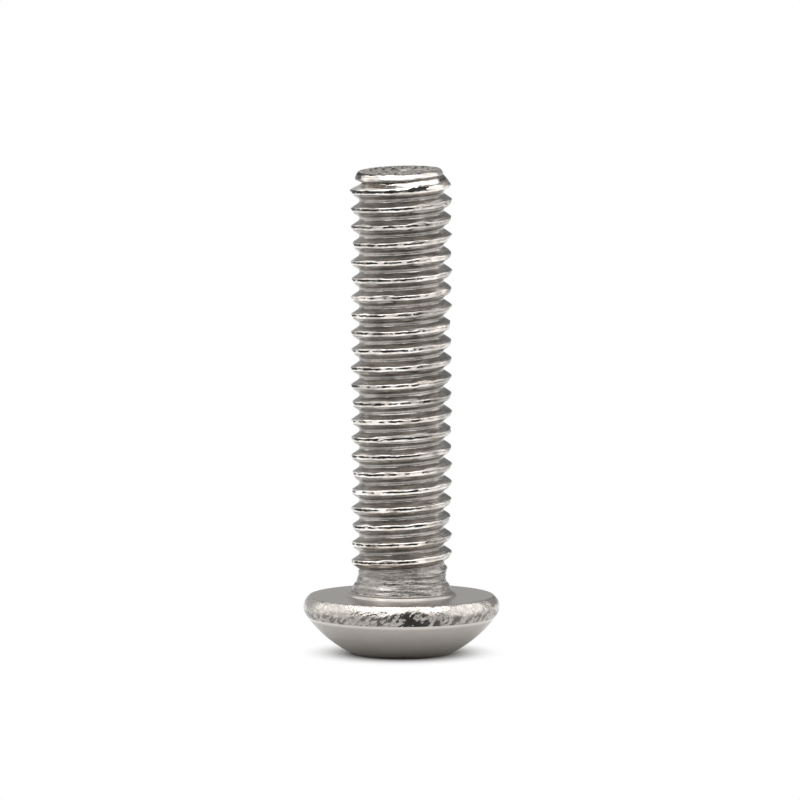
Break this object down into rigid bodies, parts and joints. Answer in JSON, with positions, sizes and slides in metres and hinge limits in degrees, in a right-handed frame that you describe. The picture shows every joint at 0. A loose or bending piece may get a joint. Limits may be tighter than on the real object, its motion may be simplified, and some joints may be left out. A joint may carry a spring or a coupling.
{
  "type": "button head socket screw",
  "caption": "Short machine screw with a low domed head, a hexagon socket in the dome and a full-length rolled thread.",
  "frame": {"origin": "on the screw's axis, at the crown of the head where it stands", "axes": "+Z along the axis from the head to the tip of the shank; a corner of the hexagon lies along +X"},
  "size_m": [0.0056, 0.0056, 0.0137],
  "materials": {
    "steel": "satin, bright where the thread was rolled"
  },
  "bodies": {
    "root": {"screw": "steel"}
  },
  "joints": []
}
